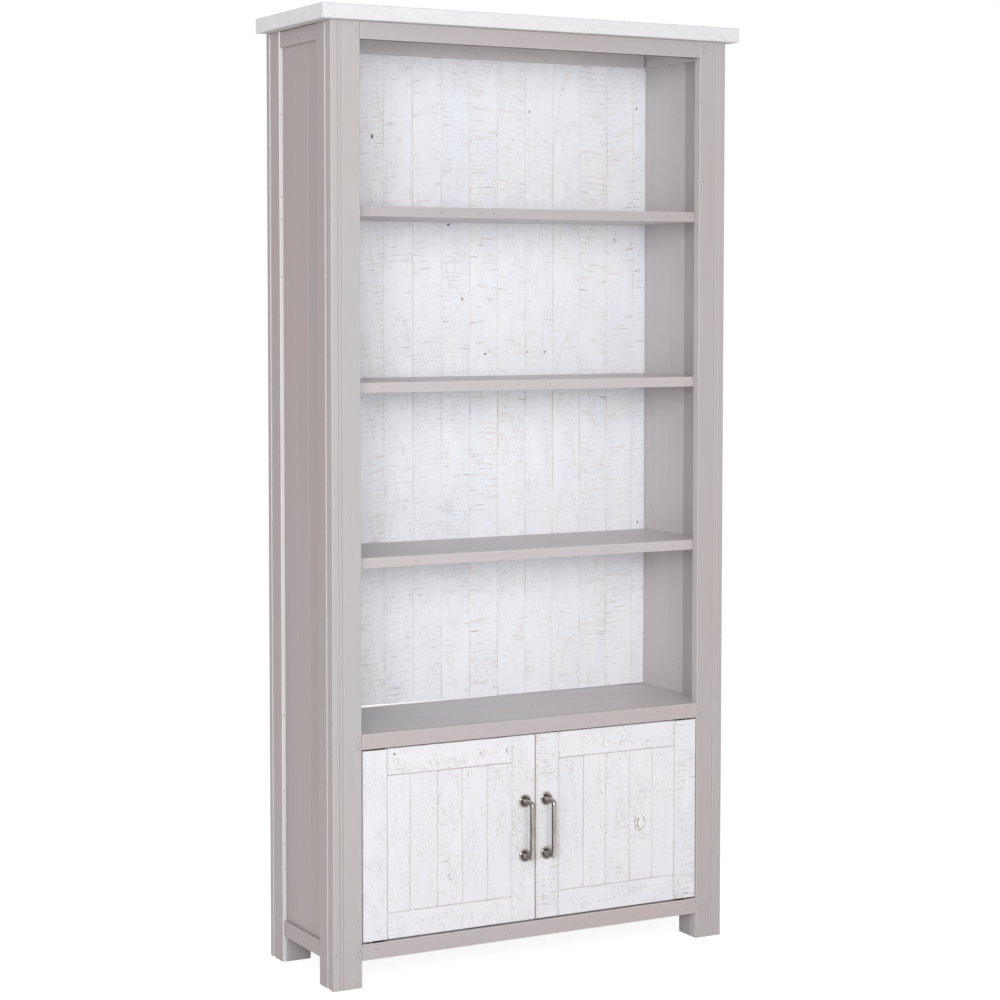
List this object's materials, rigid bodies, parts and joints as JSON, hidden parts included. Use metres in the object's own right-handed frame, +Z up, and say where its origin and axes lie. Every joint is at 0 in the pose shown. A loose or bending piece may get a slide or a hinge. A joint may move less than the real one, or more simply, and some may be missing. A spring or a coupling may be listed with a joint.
{
  "type": "bookcase with cabinet doors",
  "caption": "Tall painted wooden bookcase with open compartments over a cupboard with two hinged, limed pine doors and metal bar handles.",
  "frame": {"origin": "on the floor, in the middle of the bounding box's footprint, handles included", "axes": "+X to the right as one faces the doors, the front faces -Y, +Z up"},
  "size_m": [0.946, 0.341, 1.9],
  "materials": {
    "limed_pine": "rough-sawn pine with a whitewash",
    "taupe_paint": "satin taupe-grey paint on wood",
    "brushed_nickel": "dull brushed nickel",
    "zinc_steel": "zinc-plated",
    "white_plastic": "moulded"
  },
  "bodies": {
    "carcass": {"top_front_board": "limed_pine", "top_middle_front_board": "limed_pine", "top_middle_rear_board": "limed_pine", "top_rear_board": "limed_pine", "left_upper_hinge_pin_plate": "zinc_steel", "left_lower_hinge_pin_plate": "zinc_steel", "right_upper_hinge_pin_plate": "zinc_steel", "right_lower_hinge_pin_plate": "zinc_steel", "front_top_rail": "taupe_paint", "front_middle_rail": "taupe_paint", "front_bottom_rail": "taupe_paint", "front_left_stile": "taupe_paint", "rear_left_stile": "taupe_paint", "front_left_side_strip": "taupe_paint", "front_left_foot": "taupe_paint", "rear_left_side_strip": "taupe_paint", "rear_left_foot": "taupe_paint", "front_right_stile": "taupe_paint", "rear_right_stile": "taupe_paint", "front_right_side_strip": "taupe_paint", "front_right_foot": "taupe_paint", "rear_right_side_strip": "taupe_paint", "rear_right_foot": "taupe_paint", "left_side_top_rail": "taupe_paint", "left_side_bottom_rail": "taupe_paint", "left_top_cleat": "taupe_paint", "right_side_top_rail": "taupe_paint", "right_side_bottom_rail": "taupe_paint", "right_top_cleat": "taupe_paint", "left_side_panel": "taupe_paint", "right_side_panel": "taupe_paint", "lower_back_boards": "limed_pine", "upper_back_boards": "limed_pine", "rear_top_rail": "taupe_paint", "cupboard_floor": "taupe_paint", "cupboard_top_front_board": "taupe_paint", "cupboard_top_rear_board": "taupe_paint", "lower_shelf": "taupe_paint", "middle_shelf": "taupe_paint", "upper_shelf": "taupe_paint", "magnetic_catch": "white_plastic"},
    "left_door": {"left_door_top_rail": "limed_pine", "left_door_bottom_rail": "limed_pine", "left_door_meeting_stile": "limed_pine", "left_door_hinge_stile": "limed_pine", "left_door_panel": "limed_pine", "left_door_handle": "brushed_nickel", "left_catch_strike": "zinc_steel", "left_upper_hinge_socket_plate": "zinc_steel", "left_lower_hinge_socket_plate": "zinc_steel"},
    "right_door": {"right_door_top_rail": "limed_pine", "right_door_bottom_rail": "limed_pine", "right_door_meeting_stile": "limed_pine", "right_door_hinge_stile": "limed_pine", "right_door_panel": "limed_pine", "right_door_handle": "brushed_nickel", "right_catch_strike": "zinc_steel", "right_upper_hinge_socket_plate": "zinc_steel", "right_lower_hinge_socket_plate": "zinc_steel"}
  },
  "joints": [
    {"name": "left_door_hinge", "type": "hinge", "parent": "carcass", "child": "left_door", "pos_m": [-0.367, -0.1255, 0.277], "axis": [0, 0, -1], "range_deg": [0, 110]},
    {"name": "right_door_hinge", "type": "hinge", "parent": "carcass", "child": "right_door", "pos_m": [0.367, -0.1255, 0.277], "axis": [0, 0, 1], "range_deg": [0, 110]}
  ]
}
